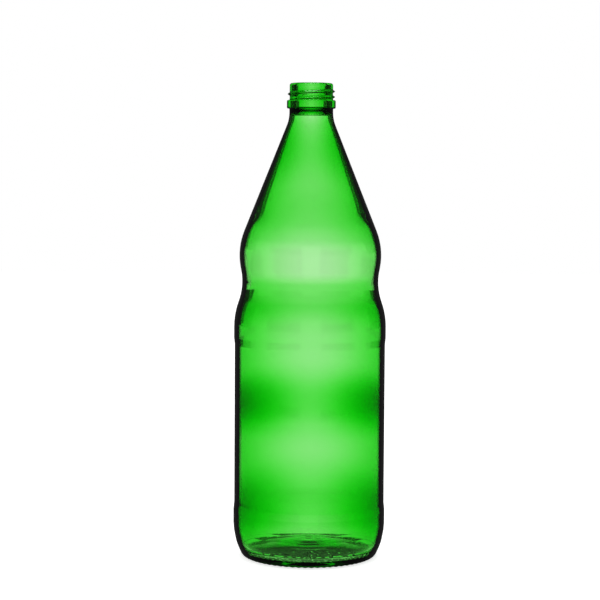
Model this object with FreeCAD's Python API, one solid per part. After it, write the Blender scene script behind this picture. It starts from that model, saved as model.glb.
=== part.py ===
import FreeCAD, Part
import math
import os

# An empty one-litre bottle for edible oil, blown in green glass in one piece, for a 28 mm screw cap.
# From the foot up it has a bearing ring round a raised push-up, a rounded heel, a lower and an
# upper contact band with a recessed label panel between them, a waist, a belly, a long cone, a short
# neck, and a screw finish with a transfer ring. The origin is on the axis, in the plane of the foot.
# Lengths are millimetres. A corner is where two straight runs of the side meet, before it is rounded.

# Overall sizes
overall_height = 274.0
body_diameter = 88.0          # over the contact bands

# Foot, outside: a flat bearing ring round the push-up
bearing_inset = 8.0           # from the contact bands in to the ring's outer edge
bearing_ring_width = 3.2
bearing_ring_inner_round = 1.6
push_up_height = 5.5
push_up_crown_radius = 11.0   # where the push-up's slope turns into its crown
push_up_crown_round = 36.0

# Heel, outside: two slopes between the bearing ring and the lower contact band
heel_height = 19.5
heel_top_inset = 0.35         # a small set-in under the lower contact band
heel_top_drop = 1.1
heel_turn_inset = 1.8         # the corner where the upper slope meets the lower one
heel_turn_height = 7.9
heel_turn_round = 26.0
heel_foot_slope = 2.5         # from the bearing ring's outer edge out to the lowest corner
heel_foot_round = 3.9

# Straight body: lower contact band, recessed label panel, upper contact band
lower_band_height = 8.0
panel_height = 100.0
panel_recess = 0.42
panel_step_rise = 2.2
band_edge_round = 0.8

# Lower shoulder, waist, belly and cone, outside
shoulder_rise = 13.7          # from the panel up to the shoulder corner
shoulder_round = 41.8
waist_inset = 5.7
waist_rise = 15.7             # from the shoulder corner up to the waist corner
waist_round = 34.5
belly_inset = 1.7
belly_rise = 22.2             # from the waist corner up to the belly corner
belly_round = 37.9

# Neck and screw finish, outside
neck_diameter = 25.2
neck_height = 6.1             # from the neck corner up to the transfer ring
neck_round = 20.0
transfer_ring_diameter = 28.1
transfer_ring_height = 4.8
transfer_ring_edge_round = 0.7
transfer_ring_root_round = 0.5
finish_diameter = 25.0        # the plain cylinder that the screw thread winds round
finish_height = 9.7           # from the transfer ring up to the lip
lip_outer_round = 1.3
lip_inner_round = 0.9

# Inside: walls are measured level, from the outside at the same place
bore_diameter = 18.8
bore_depth = 15.2             # the plunger's straight bore, down from the lip
bore_foot_round = 1.0
choke_height = 2.6            # the slope from the bore out to the neck's inside
choke_round = 1.2
neck_wall = 1.9
neck_inner_round = 16.0
cone_foot_rise = 22.0         # the cone's thickest glass, up from the belly corner
cone_foot_wall = 4.4
cone_foot_round = 38.0
belly_top_drop = 7.5          # from there down to where the belly's thinner glass starts
belly_top_wall = 2.7
belly_top_round = 38.0
belly_wall = 3.3              # at the belly corner, before its rounding
belly_inner_round = 24.0
waist_wall = 3.2
waist_inner_drop = 2.2        # the ridge inside the waist lies a little lower than the waist outside
waist_inner_round = 16.0
shoulder_wall = 2.8
shoulder_inner_round = 36.0
panel_wall = 2.4
wave_top_height = 65.0        # from the foot of the label panel up to where its glass starts to thin
wave_wall = 2.0               # the thinnest glass, just above the settle wave
wave_thin_height = 54.0
settle_wall = 2.8             # the thicker glass below the settle wave
settle_height = 42.0
wave_round = 30.0
panel_foot_wall = 3.3
panel_foot_rise = 6.0         # the thickest glass of the body, up from the foot of the label panel
panel_foot_round = 40.0
heel_top_wall = 2.8
heel_wall = 2.6
heel_inner_rise = 1.5         # the corner inside the heel lies this much higher than the one outside
heel_inner_round = 18.0
foot_wall = 3.2               # over the bearing ring's outer edge, measured upright
foot_inner_round = 7.0
base_wall = 4.4               # over the push-up's crown, measured upright

# Radii and heights worked out from the sizes
body_radius = body_diameter / 2
panel_radius = body_radius - panel_recess
bearing_radius = body_radius - bearing_inset
waist_radius = body_radius - waist_inset
belly_radius = body_radius - belly_inset
neck_radius = neck_diameter / 2
panel_foot = heel_height + lower_band_height
panel_top = panel_foot + panel_height
shoulder_corner = panel_top + shoulder_rise
waist_corner = shoulder_corner + waist_rise
belly_corner = waist_corner + belly_rise
ring_top = overall_height - finish_height
ring_foot = ring_top - transfer_ring_height
neck_corner = ring_foot - neck_height

AXIS = FreeCAD.Vector(0, 0, 1)
ORIGIN = FreeCAD.Vector(0, 0, 0)
SHORTEST_RUN = 1e-6


def point(corner):
    """The place of a corner, given as radius and height, in the plane of the profile."""
    return FreeCAD.Vector(corner[0], 0, corner[1])


def side_directions(corners, i):
    """Unit vectors from a corner along its two sides, and half the angle that the outline turns there."""
    here = point(corners[i])
    to_last = (point(corners[i - 1]) - here).normalize()
    to_next = (point(corners[i + 1]) - here).normalize()
    return to_last, to_next, (math.pi - to_last.getAngle(to_next)) / 2


def rounding_reaches(corners):
    """How far each rounding reaches along its sides, held back where two would meet on a short side."""
    reaches = [0.0]
    for i in range(1, len(corners) - 1):
        half_turn = side_directions(corners, i)[2]
        reaches.append(corners[i][2] * math.tan(half_turn))
    reaches.append(0.0)
    limited = list(reaches)
    for i in range(len(corners) - 1):
        side = (point(corners[i + 1]) - point(corners[i])).Length
        wanted = reaches[i] + reaches[i + 1]
        share = min(1.0, side / wanted) if wanted > 0 else 1.0
        limited[i] = min(limited[i], reaches[i] * share)
        limited[i + 1] = min(limited[i + 1], reaches[i + 1] * share)
    return limited


def add_line(edges, start, end):
    """Add the straight run between two places, unless roundings have used it all up."""
    if (end - start).Length > SHORTEST_RUN:
        edges.append(Part.makeLine(start, end))


def rounded_outline(corners):
    """Lines and tangent arcs along the corners, each given as radius, height and rounding."""
    reaches = rounding_reaches(corners)
    edges = []
    last = point(corners[0])
    for i in range(1, len(corners) - 1):
        to_last, to_next, half_turn = side_directions(corners, i)
        start = point(corners[i]) + to_last * reaches[i]
        end = point(corners[i]) + to_next * reaches[i]
        add_line(edges, last, start)
        radius = reaches[i] / math.tan(half_turn)
        to_centre = (to_last + to_next).normalize()
        middle = point(corners[i]) + to_centre * (radius / math.cos(half_turn) - radius)
        edges.append(Part.Arc(start, middle, end).toShape())
        last = end
    add_line(edges, last, point(corners[-1]))
    return edges


def outside_corners():
    """The bottle's outside from the crown of the push-up, round the foot and up to the lip."""
    return [
        (0.0, push_up_height, 0.0),
        (push_up_crown_radius, push_up_height, push_up_crown_round),
        (bearing_radius - bearing_ring_width, 0.0, bearing_ring_inner_round),
        (bearing_radius + heel_foot_slope, 0.0, heel_foot_round),
        (body_radius - heel_turn_inset, heel_turn_height, heel_turn_round),
        (body_radius - heel_top_inset, heel_height - heel_top_drop, band_edge_round),
        (body_radius, heel_height, band_edge_round),
        (body_radius, panel_foot, band_edge_round),
        (panel_radius, panel_foot + panel_step_rise, band_edge_round),
        (panel_radius, panel_top - panel_step_rise, band_edge_round),
        (body_radius, panel_top, band_edge_round),
        (body_radius, shoulder_corner, shoulder_round),
        (waist_radius, waist_corner, waist_round),
        (belly_radius, belly_corner, belly_round),
        (neck_radius, neck_corner, neck_round),
        (neck_radius, ring_foot, transfer_ring_root_round),
        (transfer_ring_diameter / 2, ring_foot, transfer_ring_edge_round),
        (transfer_ring_diameter / 2, ring_top, transfer_ring_edge_round),
        (finish_diameter / 2, ring_top, transfer_ring_root_round),
        (finish_diameter / 2, overall_height, lip_outer_round),
    ]


def cone_radius(height):
    """The radius of the straight cone outside, between the belly corner and the neck corner."""
    slope = (belly_radius - neck_radius) / (neck_corner - belly_corner)
    return neck_radius + slope * (neck_corner - height)


def inside_corners():
    """The bottle's inside from the lip, down the bore and the wall to the middle of the base."""
    bore_foot = overall_height - bore_depth
    cone_foot = belly_corner + cone_foot_rise
    belly_top = cone_foot - belly_top_drop
    return [
        (bore_diameter / 2, overall_height, lip_inner_round),
        (bore_diameter / 2, bore_foot, bore_foot_round),
        (neck_radius - neck_wall, bore_foot - choke_height, choke_round),
        (neck_radius - neck_wall, neck_corner, neck_inner_round),
        (cone_radius(cone_foot) - cone_foot_wall, cone_foot, cone_foot_round),
        (cone_radius(belly_top) - belly_top_wall, belly_top, belly_top_round),
        (belly_radius - belly_wall, belly_corner, belly_inner_round),
        (waist_radius - waist_wall, waist_corner - waist_inner_drop, waist_inner_round),
        (body_radius - shoulder_wall, shoulder_corner, shoulder_inner_round),
        (panel_radius - panel_wall, panel_foot + wave_top_height, wave_round),
        (panel_radius - wave_wall, panel_foot + wave_thin_height, wave_round),
        (panel_radius - settle_wall, panel_foot + settle_height, wave_round),
        (panel_radius - panel_foot_wall, panel_foot + panel_foot_rise, panel_foot_round),
        (body_radius - heel_top_wall, heel_height, panel_foot_round),
        (body_radius - heel_turn_inset - heel_wall, heel_turn_height + heel_inner_rise, heel_inner_round),
        (bearing_radius, foot_wall, foot_inner_round),
        (push_up_crown_radius, push_up_height + base_wall, push_up_crown_round),
        (0.0, push_up_height + base_wall, 0.0),
    ]


def make_bottle():
    """Turn the closed outline of the glass once round the axis."""
    corners = outside_corners() + inside_corners()
    edges = rounded_outline(corners)
    edges.append(Part.makeLine(point(corners[-1]), point(corners[0])))
    return Part.Face(Part.Wire(edges)).revolve(ORIGIN, AXIS, 360)


def write_step(name, solid):
    """Write one piece to its own file."""
    os.makedirs("parts", exist_ok=True)
    solid.exportStep(f"parts/{name}.step")


write_step("bottle", make_bottle())
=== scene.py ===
"""An empty green glass oil bottle with a screw finish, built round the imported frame, in a white studio."""

import math

import bmesh
import bpy
from bpy.props import FloatProperty, FloatVectorProperty, IntProperty, PointerProperty
from mathutils import Euler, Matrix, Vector


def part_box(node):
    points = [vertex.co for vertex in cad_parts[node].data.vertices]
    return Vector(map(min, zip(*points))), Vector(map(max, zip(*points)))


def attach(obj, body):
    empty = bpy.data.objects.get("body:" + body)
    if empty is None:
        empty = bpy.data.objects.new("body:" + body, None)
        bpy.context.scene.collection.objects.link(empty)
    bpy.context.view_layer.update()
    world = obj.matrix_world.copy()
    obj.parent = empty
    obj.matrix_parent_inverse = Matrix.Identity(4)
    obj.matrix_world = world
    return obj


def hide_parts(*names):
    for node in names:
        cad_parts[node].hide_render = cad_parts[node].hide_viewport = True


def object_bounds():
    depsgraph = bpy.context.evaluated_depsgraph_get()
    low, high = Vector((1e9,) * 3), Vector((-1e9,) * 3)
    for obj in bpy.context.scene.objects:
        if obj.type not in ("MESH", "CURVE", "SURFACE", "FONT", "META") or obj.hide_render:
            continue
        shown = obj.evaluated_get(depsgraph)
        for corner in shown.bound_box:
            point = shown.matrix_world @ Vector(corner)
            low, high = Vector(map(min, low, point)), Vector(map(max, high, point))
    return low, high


bl_info = {
    "name": "Green Oil Bottle",
    "version": (1, 0, 0),
    "blender": (4, 5, 0),
    "location": "3D View > Sidebar > Oil Bottle",
    "description": "Makes an empty green glass oil bottle and a white studio to look at it in",
    "category": "Object",
}

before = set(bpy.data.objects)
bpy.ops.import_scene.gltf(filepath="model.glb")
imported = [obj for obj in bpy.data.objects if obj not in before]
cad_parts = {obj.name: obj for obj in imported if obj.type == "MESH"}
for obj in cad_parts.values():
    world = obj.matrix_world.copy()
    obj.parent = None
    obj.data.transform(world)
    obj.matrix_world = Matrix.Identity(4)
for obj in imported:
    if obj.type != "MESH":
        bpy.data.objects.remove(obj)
CAD_LOW, CAD_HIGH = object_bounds()
BOTTLE_LOW, BOTTLE_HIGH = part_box("bottle")
BODY_RADIUS = min(BOTTLE_HIGH.x, BOTTLE_HIGH.y, -BOTTLE_LOW.x, -BOTTLE_LOW.y)
MM = 0.001
INSIDE_NAME = "inside"

# Foot, outside, in millimetres as all sizes down to the profile are
BEARING_INSET = 8.0
BEARING_WIDTH = 3.2
BEARING_INNER_ROUND = 1.6
PUSH_UP_HEIGHT = 5.5
PUSH_UP_CROWN = 11.0
PUSH_UP_ROUND = 36.0

# Heel and contact bands, outside
HEEL_HEIGHT = 19.5
HEEL_TOP_INSET = 0.35
HEEL_TOP_DROP = 4.0
HEEL_TURN_INSET = 1.8
HEEL_TURN_HEIGHT = 7.9
HEEL_TURN_ROUND = 26.0
HEEL_FOOT_SLOPE = 2.5
HEEL_FOOT_ROUND = 3.9
BAND_HEIGHT = 8.0
PANEL_HEIGHT = 100.0
PANEL_STEP = 4.0
BAND_ROUND = 0.8

# Shoulder, waist and belly, outside
SHOULDER_RISE = 13.7
SHOULDER_ROUND = 41.8
WAIST_RISE = 15.7
WAIST_ROUND = 34.5
BELLY_RISE = 22.2
BELLY_ROUND = 37.9

# Neck and finish, outside
NECK_HEIGHT = 6.1
NECK_ROUND = 20.0
RING_HEIGHT = 4.8
RING_EDGE_ROUND = 0.7
RING_ROOT_ROUND = 0.5
FINISH_HEIGHT = 9.7
LIP_OUTER_ROUND = 1.3
LIP_INNER_ROUND = 0.9

# Inside: walls are measured level from the outside at the same place
BORE_DEPTH = 15.2
BORE_FOOT_ROUND = 1.0
CHOKE_HEIGHT = 2.6
CHOKE_ROUND = 1.2
NECK_WALL = 1.9
NECK_INNER_ROUND = 16.0
CONE_FOOT_RISE = 22.0
CONE_FOOT_WALL = 4.4
CONE_FOOT_ROUND = 38.0
BELLY_TOP_DROP = 10.0
BELLY_TOP_WALL = 2.7
BELLY_TOP_ROUND = 38.0
BELLY_WALL = 3.3
BELLY_INNER_ROUND = 24.0
WAIST_WALL = 3.2
WAIST_INNER_DROP = 2.2
WAIST_INNER_ROUND = 18.0
SHOULDER_WALL = 2.8
SHOULDER_INNER_ROUND = 36.0
PANEL_WALL = 2.4
WAVE_TOP_HEIGHT = 65.0
WAVE_WALL = 2.0
WAVE_THIN_HEIGHT = 54.0
SETTLE_WALL = 2.8
SETTLE_HEIGHT = 42.0
WAVE_ROUND = 30.0
PANEL_FOOT_WALL = 3.3
PANEL_FOOT_RISE = 6.0
PANEL_FOOT_ROUND = 40.0
HEEL_TOP_WALL = 2.8
HEEL_WALL = 2.6
HEEL_INNER_RISE = 1.5
HEEL_INNER_ROUND = 18.0
FOOT_WALL = 3.2
FOOT_INNER_ROUND = 7.0
BASE_WALL = 4.4

# How finely the profile is divided; roundings wider than the first size are divided into smaller angles
WIDE_ROUND = 5.0
WIDE_ARC_STEP = math.radians(4.0)
TIGHT_ARC_STEP = math.radians(12.0)
BODY_STEP = 4.5
FINISH_STEP = 0.33
BEARING_STEP = 0.70
BEARING_REACH = 30.0
BEARING_TOP = 2.0
SHORTEST_RUN = 1e-6

# Thread, in turns counted from the right-hand side
THREAD_FIRST_TURN = -2
THREAD_LAST_TURN = 1
THREAD_START = 0.22
THREAD_END = -1.42
THREAD_RUN_OUT = 0.07
THREAD_SHARPNESS = 0.8

# Unevenness of the glass, in millimetres; a wave has a whole number of turns round the bottle, a length
# up it and a phase in radians, and a seed spreads the phases
RIPPLE_WAVES = ((2, 23.0, 0.5), (3, 41.0, 2.1), (5, 31.0, 4.4), (7, 17.0, 1.3))
OUTSIDE_SEED = 3
INSIDE_SEED = 1
RIPPLE_FOOT = 38.0
RIPPLE_TOP = 232.0
RIPPLE_FADE = 12.0
LEAN_TOP = 165.0
LEAN_FADE = 30.0
SEAM_ANGLE = math.radians(-8)
SEAM_HALF_WIDTH = 1.1
STIPPLE_REACH = 1.5
STIPPLE_FADE = 1.0
STIPPLE_TOP = 1.2
STIPPLE_LEAN = 0.35

# Zones where the glass's green is deeper or paler than elsewhere, partly for the glass's own thickness and
# partly as painted light and shade:
# the height of the zone's middle and how far it reaches from there, both in millimetres, and how much deeper
# it is
TINT_AND_SHADE_ZONES = (
    (2.0, 14.0, -0.08),     # foot
    (30.0, 25.0, 0.23),     # lower contact band and foot of the label panel
    (90.0, 21.0, 0.26),     # upper half of the label panel
    (147.0, 16.0, 0.08),    # shoulder and waist
    (166.0, 28.0, -0.12),   # waist and belly
    (236.0, 24.0, 0.08),    # top of the cone
    (258.2, 2.6, 1.5),      # choke, where the bore opens out to the neck
    (267.0, 12.0, 0.16),    # finish
)

# Faint waviness of the skin
SKIN_NOISE_SCALE = 60.0
SKIN_NOISE_DETAIL = 2.0
SKIN_NOISE_ROUGHNESS = 0.4
SKIN_BUMP_STRENGTH = 0.05
SKIN_BUMP_HEIGHT = 0.2 * MM

# Where the finish starts, over what length its painted shade at the rims sets in, and a slant that nothing
# reaches
FINISH_FOOT = CAD_HIGH.z - 15.0 * MM
FINISH_FADE = 2.0 * MM
NEVER_DARK = 1.1

# How high the painted shadow under the base's thick glass reaches, how level the glass is where it is painted
# dark, and the noise levels between which it gives way to a bright speck that stands in for a glint
BASE_SHADE_TOP_OUTSIDE = 4.0 * MM
BASE_SHADE_TOP_INSIDE = 7.5 * MM
BASE_SHADE_FADE = 1.0 * MM
LEVEL_FROM = 0.75
LEVEL_TO = 0.9
GLINT_SPECK_SCALE = 700.0
GLINT_SPECK_FROM = 0.65
GLINT_SPECK_TO = 0.70

# Studio, with angles in degrees and lengths in metres
PANEL_HALF_ANGLE = 16.5
PANEL_FADE = 1.5
PANEL_TOP = 14.0
PANEL_TOP_FADE = 14.0
FLOOR_GAP = 0.0002
FLOOR_EDGES = 96
FLOOR_ROUGHNESS = 0.9


def size(name, about, default):
    """A size in metres that the sidebar shows."""
    return FloatProperty(name=name, description=about, default=default, unit="LENGTH", precision=5)


def number(name, about, default):
    """A plain number that the sidebar shows."""
    return FloatProperty(name=name, description=about, default=default)


def turn(name, about, degrees):
    """An angle that the sidebar shows."""
    return FloatProperty(name=name, description=about, default=math.radians(degrees), subtype="ANGLE")


def colour(name, about, default):
    """A colour that the sidebar shows."""
    return FloatVectorProperty(
        name=name, description=about, subtype="COLOR", size=3, default=default, min=0.0, max=1.0,
    )


class OilBottleSizes(bpy.types.PropertyGroup):
    """Sizes of the glass."""

    height: size("Height", "From the foot to the lip", BOTTLE_HIGH.z - BOTTLE_LOW.z)
    body_radius: size("Body radius", "Over the contact bands", BODY_RADIUS)
    panel_recess: size("Panel recess", "How far the label panel lies inside the bands", 0.42 * MM)
    waist_inset: size("Waist inset", "How far the waist lies inside the bands", 5.7 * MM)
    belly_inset: size("Belly inset", "How far the belly lies inside the bands", 1.7 * MM)
    neck_radius: size("Neck radius", "Outside the neck, below the ring", 12.6 * MM)
    ring_radius: size("Ring radius", "Over the transfer ring", 14.05 * MM)
    finish_radius: size("Finish radius", "The plain cylinder under the thread", 12.5 * MM)
    bore_radius: size("Bore radius", "Inside the mouth", 9.4 * MM)
    thread_pitch: size("Thread pitch", "Rise of the thread in one turn", 3.18 * MM)
    thread_rise: size("Thread rise", "How far the thread stands out", 1.15 * MM)
    thread_width: size("Thread width", "From root to root", 1.9 * MM)
    thread_top: size("Thread top", "Height of the thread at the right, where it is last whole", 269.35 * MM)
    wall_lean: size("Wall lean", "How much thicker the left wall is than the mean", 0.4 * MM)
    wall_ripple: size("Wall ripple", "Unevenness of the blown inside", 0.02 * MM)
    skin_ripple: size("Skin ripple", "Unevenness of the moulded outside", 0.03 * MM)
    stipple_depth: size("Stipple depth", "Depth of the notches in the bearing ring", 0.35 * MM)
    seam_rise: size("Seam rise", "How far the mould seams stand out", 0.09 * MM)
    stipple_count: IntProperty(name="Stipples", description="Notches round the bearing ring", default=64)
    segments: IntProperty(name="Segments", description="Faces round the bottle", default=256)


class OilBottleGlass(bpy.types.PropertyGroup):
    """Colour of the glass."""

    green: colour("Green", "What the glass lets through most", (0.156, 0.884, 0.031))
    density: number("Density", "How strongly it absorbs, per metre", 154.0)
    ior: number("IOR", "Refractive index of bottle glass", 1.52)
    slant_tint: colour("Slant tint", "What the skin lets through at a depth of 1", (0.071, 0.756, 0.055))
    skin_depth: number("Skin depth", "How deep the skin's green is, face on", 0.125)
    # The two slant gains deepen the green edge on, partly for the longer path through the glass and partly as
    # painted shade at the sides
    slant_tint_and_shade_gain: number("Slant gain", "How much deeper the green is edge on", 0.5)
    deep_slant_tint_and_shade_gain: number("Deep slant gain", "How much deeper again where the green is deep", 36.0)
    # The four rim settings place painted shade that darkens the glass toward its edges at a slant
    rim_shade_start: number("Rim start", "Slant at which the outside starts to darken", 0.55)
    inner_rim_shade_start: number("Inner rim start", "The same on the inside", 0.80)
    bore_rim_shade_start: number("Bore rim start", "The same inside the finish", 0.50)
    rim_shade_width: number("Rim width", "Slant over which it darkens", 0.10)
    # Base shade is how dark the painted shadow under the base is
    base_shade: number("Base shade", "How dark the thick glass of the base is", 0.97)


class OilBottleStudio(bpy.types.PropertyGroup):
    """Floor, light and camera."""

    floor_colour: colour("Floor", "Colour of the floor", (0.8, 0.8, 0.8))
    floor_radius: size("Floor radius", "How far the floor reaches", 3.0)
    camera_distance: size("Camera distance", "Level, from the bottle's axis", 1.03)
    camera_height: size("Camera height", "Above the foot", 0.222)
    camera_pitch: turn("Pitch", "Down from level", 3.474)
    camera_yaw: turn("Yaw", "To the left", 0.3295)
    camera_roll: turn("Roll", "Turn about the line of sight", 0.3328)
    lens: number("Lens", "Focal length in millimetres on a 36 mm sensor", 106.95)
    shift: number("Shift", "Upright shift of the lens", -0.03)
    panels: IntProperty(name="Panels", description="Lit panels round the horizon", default=4)
    gap_level: number("Gap level", "Light between the panels", 0.02)
    mirrored_level: number("Mirrored level", "Light that the glass mirrors", 0.04)
    dome_level: number("Dome level", "Soft light from all round", 0.55)
    floor_lift: number("Floor lift", "Brightness added to the floor for the camera", 0.75)
    floor_glow: number("Floor glow", "Brightness of the floor seen through the glass", 1.0)
    lamp_size: size("Lamp size", "Width of the overhead softbox", 1.2)
    lamp_height: size("Lamp height", "Of the overhead softbox", 1.8)
    lamp_power: number("Lamp power", "Watts of the overhead softbox", 12.0)


def outside_corners(sizes):
    """Radius, height and rounding of each corner outside, from the push-up to the lip, in millimetres."""
    top = sizes.height / MM
    body = sizes.body_radius / MM
    panel = body - sizes.panel_recess / MM
    bearing = body - BEARING_INSET
    panel_foot = HEEL_HEIGHT + BAND_HEIGHT
    panel_top = panel_foot + PANEL_HEIGHT
    shoulder = panel_top + SHOULDER_RISE
    waist = shoulder + WAIST_RISE
    belly = waist + BELLY_RISE
    ring_top = top - FINISH_HEIGHT
    ring_foot = ring_top - RING_HEIGHT
    neck, ring, finish = sizes.neck_radius / MM, sizes.ring_radius / MM, sizes.finish_radius / MM
    return [
        (0.0, PUSH_UP_HEIGHT, 0.0),
        (PUSH_UP_CROWN, PUSH_UP_HEIGHT, PUSH_UP_ROUND),
        (bearing - BEARING_WIDTH, 0.0, BEARING_INNER_ROUND),
        (bearing + HEEL_FOOT_SLOPE, 0.0, HEEL_FOOT_ROUND),
        (body - HEEL_TURN_INSET, HEEL_TURN_HEIGHT, HEEL_TURN_ROUND),
        (body - HEEL_TOP_INSET, HEEL_HEIGHT - HEEL_TOP_DROP, BAND_ROUND),
        (body, HEEL_HEIGHT, BAND_ROUND),
        (body, panel_foot, BAND_ROUND),
        (panel, panel_foot + PANEL_STEP, BAND_ROUND),
        (panel, panel_top - PANEL_STEP, BAND_ROUND),
        (body, panel_top, BAND_ROUND),
        (body, shoulder, SHOULDER_ROUND),
        (body - sizes.waist_inset / MM, waist, WAIST_ROUND),
        (body - sizes.belly_inset / MM, belly, BELLY_ROUND),
        (neck, ring_foot - NECK_HEIGHT, NECK_ROUND),
        (neck, ring_foot, RING_ROOT_ROUND),
        (ring, ring_foot, RING_EDGE_ROUND),
        (ring, ring_top, RING_EDGE_ROUND),
        (finish, ring_top, RING_ROOT_ROUND),
        (finish, top, LIP_OUTER_ROUND),
    ]


def inside_corners(sizes):
    """The same from the lip down the inside to the middle of the base."""
    top = sizes.height / MM
    body = sizes.body_radius / MM
    panel = body - sizes.panel_recess / MM
    belly_radius = body - sizes.belly_inset / MM
    bore, neck = sizes.bore_radius / MM, sizes.neck_radius / MM
    panel_foot = HEEL_HEIGHT + BAND_HEIGHT
    shoulder = panel_foot + PANEL_HEIGHT + SHOULDER_RISE
    waist = shoulder + WAIST_RISE
    belly = waist + BELLY_RISE
    neck_corner = top - FINISH_HEIGHT - RING_HEIGHT - NECK_HEIGHT
    cone_slope = (belly_radius - neck) / (neck_corner - belly)
    cone_foot = belly + CONE_FOOT_RISE
    belly_top = cone_foot - BELLY_TOP_DROP
    return [
        (bore, top, LIP_INNER_ROUND),
        (bore, top - BORE_DEPTH, BORE_FOOT_ROUND),
        (neck - NECK_WALL, top - BORE_DEPTH - CHOKE_HEIGHT, CHOKE_ROUND),
        (neck - NECK_WALL, neck_corner, NECK_INNER_ROUND),
        (neck + cone_slope * (neck_corner - cone_foot) - CONE_FOOT_WALL, cone_foot, CONE_FOOT_ROUND),
        (neck + cone_slope * (neck_corner - belly_top) - BELLY_TOP_WALL, belly_top, BELLY_TOP_ROUND),
        (belly_radius - BELLY_WALL, belly, BELLY_INNER_ROUND),
        (body - sizes.waist_inset / MM - WAIST_WALL, waist - WAIST_INNER_DROP, WAIST_INNER_ROUND),
        (body - SHOULDER_WALL, shoulder, SHOULDER_INNER_ROUND),
        (panel - PANEL_WALL, panel_foot + WAVE_TOP_HEIGHT, WAVE_ROUND),
        (panel - WAVE_WALL, panel_foot + WAVE_THIN_HEIGHT, WAVE_ROUND),
        (panel - SETTLE_WALL, panel_foot + SETTLE_HEIGHT, WAVE_ROUND),
        (panel - PANEL_FOOT_WALL, panel_foot + PANEL_FOOT_RISE, PANEL_FOOT_ROUND),
        (body - HEEL_TOP_WALL, HEEL_HEIGHT, PANEL_FOOT_ROUND),
        (body - HEEL_TURN_INSET - HEEL_WALL, HEEL_TURN_HEIGHT + HEEL_INNER_RISE, HEEL_INNER_ROUND),
        (body - BEARING_INSET, FOOT_WALL, FOOT_INNER_ROUND),
        (PUSH_UP_CROWN, PUSH_UP_HEIGHT + BASE_WALL, PUSH_UP_ROUND),
        (0.0, PUSH_UP_HEIGHT + BASE_WALL, 0.0),
    ]


def corner_sides(corners, i):
    """A corner, unit vectors from it along its two sides, and half the angle that the outline turns there."""
    here, last, following = (Vector(corners[k][:2]) for k in (i, i - 1, i + 1))
    to_last, to_next = (last - here).normalized(), (following - here).normalized()
    return here, to_last, to_next, (math.pi - to_last.angle(to_next)) / 2


def rounding_reaches(corners):
    """How far each rounding reaches along its sides, held back where two would meet on a short side."""
    inner = range(1, len(corners) - 1)
    reaches = [0.0] + [corners[i][2] * math.tan(corner_sides(corners, i)[3]) for i in inner] + [0.0]
    limited = list(reaches)
    for i in range(len(corners) - 1):
        side = (Vector(corners[i + 1][:2]) - Vector(corners[i][:2])).length
        wanted = reaches[i] + reaches[i + 1]
        share = min(1.0, side / wanted) if wanted > 0 else 1.0
        limited[i] = min(limited[i], reaches[i] * share)
        limited[i + 1] = min(limited[i + 1], reaches[i + 1] * share)
    return limited


def run_step(place, top):
    """The longest step of the profile at a place: fine at the finish and the bearing ring."""
    radius, height = place
    if height > top - FINISH_HEIGHT:
        return FINISH_STEP
    if height < BEARING_TOP and radius > BEARING_REACH:
        return BEARING_STEP
    return BODY_STEP


def add_run(profile, end, top):
    """Divide the straight run from the profile's last place to its new end."""
    start = profile[-1]
    length = (end - start).length
    steps = max(1, math.ceil(length / run_step((start + end) / 2, top)))
    if length > SHORTEST_RUN:
        profile.extend(start.lerp(end, k / steps) for k in range(1, steps + 1))


def rounded_profile(corners):
    """Places along the rounded outline, in millimetres."""
    reaches = rounding_reaches(corners)
    top = max(corner[1] for corner in corners)
    profile = [Vector(corners[0][:2])]
    for i in range(1, len(corners) - 1):
        here, to_last, to_next, half_turn = corner_sides(corners, i)
        start, end = here + to_last * reaches[i], here + to_next * reaches[i]
        add_run(profile, start, top)
        radius = reaches[i] / math.tan(half_turn)
        centre = here + (to_last + to_next).normalized() * (radius / math.cos(half_turn))
        step = WIDE_ARC_STEP if radius > WIDE_ROUND else TIGHT_ARC_STEP
        steps = max(
            2,
            math.ceil(2 * half_turn / step),
            math.ceil((end - start).length / run_step(here, top)),
        )
        from_centre = start - centre
        whole = from_centre.angle_signed(end - centre)
        for k in range(1, steps + 1):
            swept = -whole * k / steps
            turned = Vector((
                from_centre.x * math.cos(swept) - from_centre.y * math.sin(swept),
                from_centre.x * math.sin(swept) + from_centre.y * math.cos(swept),
            ))
            profile.append(centre + turned)
    add_run(profile, Vector(corners[-1][:2]), top)
    return profile


def smooth_step(low, high, value):
    """From 0 at low to 1 at high, with level ends."""
    t = min(1.0, max(0.0, (value - low) / (high - low)))
    return t * t * (3 - 2 * t)


def between(low, high, fade, value):
    """1 between low and high, fading to 0 over a length outside them."""
    return smooth_step(low - fade, low, value) * smooth_step(high + fade, high, value)


def thread_radius(sizes, angle, height):
    """How far out the right-handed thread reaches at a place on the finish, in millimetres."""
    pitch, half_width = sizes.thread_pitch / MM, sizes.thread_width / MM / 2
    furthest = 0.0
    for lap in range(THREAD_FIRST_TURN, THREAD_LAST_TURN + 1):
        swept = lap + angle / math.tau
        off = abs(height - sizes.thread_top / MM - pitch * swept) / half_width
        if off < 1:
            fade = between(THREAD_END, THREAD_START, THREAD_RUN_OUT, swept)
            crest = (0.5 + 0.5 * math.cos(math.pi * off)) ** THREAD_SHARPNESS
            furthest = max(furthest, crest * fade * sizes.thread_rise / MM)
    return sizes.finish_radius / MM + furthest


def ripple(angle, height, seed):
    """Slow unevenness of blown glass between -1 and 1, the same at every run."""
    total = sum(
        math.sin(turns * angle + height / length * math.tau + phase * seed)
        for turns, length, phase in RIPPLE_WAVES
    )
    return total / len(RIPPLE_WAVES)


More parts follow.
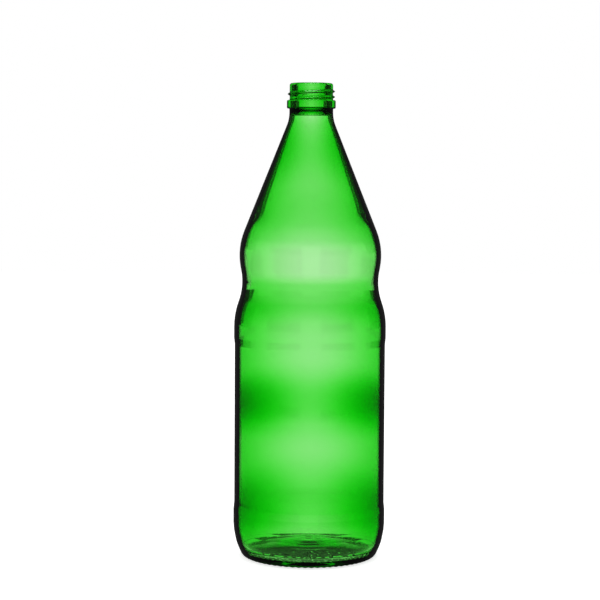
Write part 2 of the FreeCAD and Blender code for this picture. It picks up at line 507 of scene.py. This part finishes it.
def outside_place(sizes, angle, radius, height):
    """A place of the outside with its thread, stipples, seams and ripples, in millimetres."""
    top = sizes.height / MM
    if height > top - FINISH_HEIGHT:
        if height < top - LIP_OUTER_ROUND:
            radius = max(radius, thread_radius(sizes, angle, height))
        return radius, height
    bearing = sizes.body_radius / MM - BEARING_INSET
    on_ring = between(bearing - BEARING_WIDTH, bearing + STIPPLE_REACH, STIPPLE_FADE, radius)
    if height < STIPPLE_TOP:
        notch = 0.5 + 0.5 * math.cos(angle * sizes.stipple_count + radius * STIPPLE_LEAN)
        height += sizes.stipple_depth / MM * on_ring * notch
    on_wall = between(RIPPLE_FOOT, RIPPLE_TOP, RIPPLE_FADE, height)
    radius -= sizes.skin_ripple / MM * on_wall * (1 + ripple(angle, height, OUTSIDE_SEED)) / 2
    from_seam = abs((angle - SEAM_ANGLE + math.pi / 2) % math.pi - math.pi / 2) * radius
    radius += sizes.seam_rise / MM * on_wall * max(0.0, 1 - from_seam / SEAM_HALF_WIDTH)
    return radius, height


def inside_place(sizes, angle, radius, height):
    """A place of the inside, where the wall is thicker on one side and uneven, in millimetres."""
    on_wall = between(RIPPLE_FOOT, RIPPLE_TOP, RIPPLE_FADE, height) * smooth_step(0, RIPPLE_FADE, radius)
    lean = sizes.wall_lean / MM * between(RIPPLE_FOOT, LEAN_TOP, LEAN_FADE, height) * math.cos(angle)
    uneven = sizes.wall_ripple / MM * ripple(angle, height, INSIDE_SEED)
    return radius + on_wall * (lean + uneven), height


def bottle_mesh(sizes):
    """The glass as one closed mesh: rings of points up the outside and down the inside, and two poles."""
    outside, inside = outside_corners(sizes), inside_corners(sizes)
    profile = rounded_profile(outside + inside)
    lip_corner = Vector(inside[0][:2])
    lip = min(range(len(profile)), key=lambda i: (profile[i] - lip_corner).length)
    shape = bmesh.new()
    inside_layer = shape.verts.layers.float.new(INSIDE_NAME)
    rows = []
    for i, (radius, height) in enumerate(profile[1:-1], start=1):
        place = outside_place if i < lip else inside_place
        row = []
        for k in range(sizes.segments):
            angle = math.tau * k / sizes.segments
            r, z = place(sizes, angle if angle <= math.pi else angle - math.tau, radius, height)
            row.append(shape.verts.new((r * MM * math.cos(angle), r * MM * math.sin(angle), z * MM)))
            row[-1][inside_layer] = float(i >= lip)
        rows.append(row)
    for lower, upper in zip(rows, rows[1:]):
        for k in range(sizes.segments):
            following = (k + 1) % sizes.segments
            shape.faces.new((lower[k], lower[following], upper[following], upper[k]))
    for row, pole_place in ((rows[0], profile[0]), (rows[-1], profile[-1])):
        pole = shape.verts.new((0, 0, pole_place.y * MM))
        for k in range(sizes.segments):
            ends = (row[k], row[(k + 1) % sizes.segments])
            shape.faces.new((pole, *(ends if row is rows[-1] else reversed(ends))))
    bmesh.ops.recalc_face_normals(shape, faces=shape.faces)
    mesh = bpy.data.meshes.new("bottle_glass")
    shape.to_mesh(mesh)
    shape.free()
    mesh.polygons.foreach_set("use_smooth", [True] * len(mesh.polygons))
    return mesh


def new_nodes(tree):
    """Empty a node tree and return a function that adds a node to it with its settings and inputs."""
    tree.nodes.clear()

    def add(kind, **settings):
        node = tree.nodes.new("ShaderNode" + kind)
        inputs = settings.pop("inputs", {})
        for name, value in settings.items():
            setattr(node, name, value)
        for name, value in inputs.items():
            if isinstance(value, bpy.types.NodeSocket):
                tree.links.new(value, node.inputs[name])
            else:
                node.inputs[name].default_value = value
        return node

    return add


def maths(add, operation, *values):
    """The result of a new Math node."""
    return add("Math", operation=operation, inputs=dict(enumerate(values))).outputs["Value"]


def ramp(add, value, first, last, low, high, kind="LINEAR"):
    """The result of a new Map Range node: low up to the first value, and high from the last one on."""
    return add("MapRange", interpolation_type=kind, inputs={
        "Value": value, "From Min": first, "From Max": last, "To Min": low, "To Max": high,
    }).outputs["Result"]


def painted_base_shade(add, glass, height, inside):
    """Painted shade where the base's thick glass lies flat low down, for the shadow under the bottle, but for
    bright specks where the painted shade gives way, standing in for glints.
    """
    coordinates = add("TexCoord")
    upright = add("SeparateXYZ", inputs={"Vector": coordinates.outputs["Normal"]}).outputs["Z"]
    level = ramp(add, maths(add, "ABSOLUTE", upright), LEVEL_FROM, LEVEL_TO, 0.0, 1.0, "SMOOTHSTEP")
    top = ramp(add, inside, 0.0, 1.0, BASE_SHADE_TOP_OUTSIDE, BASE_SHADE_TOP_INSIDE)
    fade_end = maths(add, "ADD", top, BASE_SHADE_FADE)
    below = ramp(add, height, top, fade_end, glass.base_shade, 0.0)
    # Noise leaves bright specks in the painted shade, standing in for glints
    glint_specks = add("TexNoise", inputs={
        "Vector": coordinates.outputs["Object"], "Scale": GLINT_SPECK_SCALE, "Detail": 0.0,
    }).outputs["Fac"]
    between_glint_specks = ramp(add, glint_specks, GLINT_SPECK_FROM, GLINT_SPECK_TO, 1.0, 0.0)
    dark = maths(add, "MULTIPLY", maths(add, "MULTIPLY", level, below), between_glint_specks)
    return maths(add, "SUBTRACT", 1.0, dark)


def tint_and_painted_shade_depth(add, glass, facing, height):
    """How deep the skin's green is: by zones of height, partly the glass's own tint and partly painted light
    and shade, and deeper at a slant, most where it is deep, partly as painted shade at the sides.
    """
    depth = glass.skin_depth
    for middle, reach, deeper in TINT_AND_SHADE_ZONES:
        away = maths(add, "ABSOLUTE", maths(add, "SUBTRACT", height, middle * MM))
        depth = maths(add, "ADD", depth, ramp(add, away, 0.0, reach * MM, deeper, 0.0, "SMOOTHSTEP"))
    squared = maths(add, "MULTIPLY", depth, depth)
    gain = maths(add, "MULTIPLY_ADD", squared, glass.deep_slant_tint_and_shade_gain, glass.slant_tint_and_shade_gain)
    return maths(add, "MULTIPLY_ADD", facing, gain, depth)


def painted_rim_shade(add, glass, facing, height, inside):
    """Painted shade at a slant, darkening the glass toward its rims: on both skins below the finish, and on
    the inside alone at the finish.
    """
    outer_start, inner_start = (
        ramp(add, height, FINISH_FOOT - FINISH_FADE, FINISH_FOOT, below, above)
        for below, above in ((glass.rim_shade_start, NEVER_DARK), (glass.inner_rim_shade_start, glass.bore_rim_shade_start))
    )
    start = ramp(add, inside, 0.0, 1.0, outer_start, inner_start)
    end = maths(add, "ADD", start, glass.rim_shade_width)
    return ramp(add, facing, start, end, 1.0, 0.0, "SMOOTHSTEP")


def glass_material(glass):
    """Green glass: tinted by how far light goes through it and by its skin, with painted light and shade in
    the skin's tint, painted shade at its rims and base, and a faint waviness.
    """
    material = bpy.data.materials.new("green_bottle_glass")
    material.use_nodes = True
    add = new_nodes(material.node_tree)
    place = add("TexCoord").outputs["Object"]
    skin = add("TexNoise", inputs={
        "Vector": place, "Scale": SKIN_NOISE_SCALE, "Detail": SKIN_NOISE_DETAIL,
        "Roughness": SKIN_NOISE_ROUGHNESS,
    })
    bump = add("Bump", inputs={
        "Strength": SKIN_BUMP_STRENGTH, "Distance": SKIN_BUMP_HEIGHT, "Height": skin.outputs["Fac"],
    })
    facing = add("LayerWeight", inputs={"Blend": 0.5}).outputs["Facing"]
    inside = add("Attribute", attribute_name=INSIDE_NAME).outputs["Fac"]
    height = add("SeparateXYZ", inputs={"Vector": place}).outputs["Z"]
    depth = tint_and_painted_shade_depth(add, glass, facing, height)
    rim = painted_rim_shade(add, glass, facing, height, inside)
    # lit is the share of the tint that the painted shade at the rims and the base leaves
    lit = maths(add, "MULTIPLY", rim, painted_base_shade(add, glass, height, inside))
    red, green, blue = (
        maths(add, "MULTIPLY", maths(add, "POWER", channel, depth), lit) for channel in glass.slant_tint
    )
    tint = add("CombineColor", inputs={"Red": red, "Green": green, "Blue": blue})
    shader = add("BsdfPrincipled", inputs={
        "Base Color": tint.outputs["Color"],
        "Roughness": 0.0,
        "IOR": glass.ior,
        "Transmission Weight": 1.0,
        "Normal": bump.outputs["Normal"],
    })
    absorption = add("VolumeAbsorption", inputs={"Color": (*glass.green, 1.0), "Density": glass.density})
    add("OutputMaterial", inputs={
        "Surface": shader.outputs["BSDF"], "Volume": absorption.outputs["Volume"],
    })
    return material


class OIL_BOTTLE_OT_glass(bpy.types.Operator):
    """Make the glass bottle in place of its CAD solid"""

    bl_idname = "oil_bottle.glass"
    bl_label = "Glass bottle"

    def execute(self, context):
        sizes, glass = context.scene.oil_bottle_sizes, context.scene.oil_bottle_glass
        mesh = bottle_mesh(sizes)
        mesh.materials.append(glass_material(glass))
        bottle = bpy.data.objects.new("glass_bottle", mesh)
        context.scene.collection.objects.link(bottle)
        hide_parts("bottle")
        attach(bottle, "root")
        return {"FINISHED"}


def lamps_and_world(scene, studio):
    """White for the camera, soft light for the floor, lit panels and gaps behind the glass, and a lamp."""
    world = bpy.data.worlds.new("studio")
    scene.world = world
    world.use_nodes = True
    add = new_nodes(world.node_tree)
    path = add("LightPath")
    ray = add("SeparateXYZ", inputs={"Vector": add("TexCoord").outputs["Generated"]})
    azimuth = maths(add, "ARCTAN2", ray.outputs["Y"], ray.outputs["X"])
    lobe = maths(add, "COSINE", maths(add, "MULTIPLY", azimuth, float(studio.panels)))
    wide, narrow = (
        math.cos(studio.panels * math.radians(PANEL_HALF_ANGLE + side * PANEL_FADE)) for side in (1, -1)
    )
    across = ramp(add, lobe, wide, narrow, studio.gap_level, 1.0, "SMOOTHSTEP")
    dark_from, lit_to = (math.sin(math.radians(angle)) for angle in (PANEL_TOP + PANEL_TOP_FADE, PANEL_TOP))
    upward = ramp(add, ray.outputs["Z"], dark_from, lit_to, studio.gap_level, 1.0, "SMOOTHSTEP")
    panels = maths(add, "MULTIPLY", across, upward)
    seen_through = maths(add, "MULTIPLY", path.outputs["Is Transmission Ray"], panels)
    mirrored = maths(add, "MULTIPLY", path.outputs["Is Glossy Ray"], studio.mirrored_level)
    scattered = maths(add, "MULTIPLY", path.outputs["Is Diffuse Ray"], studio.dome_level)
    total = maths(add, "MAXIMUM", maths(add, "MAXIMUM", seen_through, mirrored), scattered)
    strength = maths(add, "MAXIMUM", path.outputs["Is Camera Ray"], total)
    light = add("Background", inputs={"Color": (1.0, 1.0, 1.0, 1.0), "Strength": strength})
    add("OutputWorld", inputs={"Surface": light.outputs["Background"]})

    lamp_data = bpy.data.lights.new("overhead_softbox", "AREA")
    lamp_data.shape = "DISK"
    lamp_data.size = studio.lamp_size
    lamp_data.energy = studio.lamp_power
    lamp = bpy.data.objects.new("overhead_softbox", lamp_data)
    lamp.location = (0.0, 0.0, studio.lamp_height)
    scene.collection.objects.link(lamp)


def floor_material(studio):
    """Pale floor: it keeps the bottle's shadow, is nearly white to the camera and evenly lit behind glass."""
    material = bpy.data.materials.new("pale_floor")
    material.use_nodes = True
    add = new_nodes(material.node_tree)
    path = add("LightPath")
    lift = maths(add, "MULTIPLY", path.outputs["Is Camera Ray"], studio.floor_lift)
    matt = add("BsdfPrincipled", inputs={
        "Base Color": (*studio.floor_colour, 1.0), "Roughness": FLOOR_ROUGHNESS, "Specular IOR Level": 0.0,
    }).outputs["BSDF"]
    lifted = add("Emission", inputs={"Strength": lift}).outputs["Emission"]
    lit = add("AddShader", inputs={0: matt, 1: lifted}).outputs["Shader"]
    mirrored = add("Emission", inputs={"Strength": studio.mirrored_level}).outputs["Emission"]
    glow = add("Emission", inputs={"Strength": studio.floor_glow}).outputs["Emission"]
    open_air = add("MixShader", inputs={0: path.outputs["Is Glossy Ray"], 1: lit, 2: mirrored})
    all_rays = add("MixShader", inputs={
        0: path.outputs["Is Transmission Ray"], 1: open_air.outputs["Shader"], 2: glow,
    })
    add("OutputMaterial", inputs={"Surface": all_rays.outputs["Shader"]})
    return material


def floor_mesh(radius):
    """A flat round floor."""
    shape = bmesh.new()
    bmesh.ops.create_circle(shape, cap_ends=True, segments=FLOOR_EDGES, radius=radius)
    mesh = bpy.data.meshes.new("floor")
    shape.to_mesh(mesh)
    shape.free()
    return mesh


class OIL_BOTTLE_OT_studio(bpy.types.Operator):
    """Make the floor, the light and the camera"""

    bl_idname = "oil_bottle.studio"
    bl_label = "Studio"

    def execute(self, context):
        scene, studio = context.scene, context.scene.oil_bottle_studio
        floor = bpy.data.objects.new("floor", floor_mesh(studio.floor_radius))
        floor.data.materials.append(floor_material(studio))
        floor.location.z = CAD_LOW.z - FLOOR_GAP
        scene.collection.objects.link(floor)
        lamps_and_world(scene, studio)
        camera = bpy.data.objects.new("camera", bpy.data.cameras.new("camera"))
        camera.data.lens = studio.lens
        camera.data.shift_y = studio.shift
        camera.location = (0.0, -studio.camera_distance, studio.camera_height)
        camera.rotation_mode = "QUATERNION"
        camera.rotation_quaternion = (
            Euler((math.pi / 2 - studio.camera_pitch, 0.0, studio.camera_yaw), "XYZ").to_quaternion()
            @ Euler((0.0, 0.0, studio.camera_roll), "XYZ").to_quaternion()
        )
        scene.collection.objects.link(camera)
        scene.camera = camera
        scene.view_settings.view_transform = "Standard"
        return {"FINISHED"}


class OIL_BOTTLE_PT_sidebar(bpy.types.Panel):
    """Sizes, colours and the makers, in the 3D view's sidebar"""

    bl_idname = "OIL_BOTTLE_PT_sidebar"
    bl_label = "Oil Bottle"
    bl_space_type = "VIEW_3D"
    bl_region_type = "UI"
    bl_category = "Oil Bottle"

    def draw(self, context):
        for settings in SETTINGS:
            group = getattr(context.scene, settings)
            box = self.layout.box()
            for name in group.__annotations__:
                box.prop(group, name)
        for maker in MAKERS:
            self.layout.operator(maker.bl_idname)


SETTINGS = {
    "oil_bottle_sizes": OilBottleSizes,
    "oil_bottle_glass": OilBottleGlass,
    "oil_bottle_studio": OilBottleStudio,
}
MAKERS = (OIL_BOTTLE_OT_glass, OIL_BOTTLE_OT_studio)
CLASSES = (*SETTINGS.values(), *MAKERS, OIL_BOTTLE_PT_sidebar)


def register():
    """Add the classes and their settings to Blender."""
    for cls in CLASSES:
        bpy.utils.register_class(cls)
    for name, cls in SETTINGS.items():
        setattr(bpy.types.Scene, name, PointerProperty(type=cls))


def unregister():
    """Take them out again."""
    for name in SETTINGS:
        delattr(bpy.types.Scene, name)
    for cls in reversed(CLASSES):
        bpy.utils.unregister_class(cls)


def main():
    """Make everything, in order."""
    register()
    bpy.ops.oil_bottle.glass()
    bpy.ops.oil_bottle.studio()


if __name__ == "__main__":
    main()
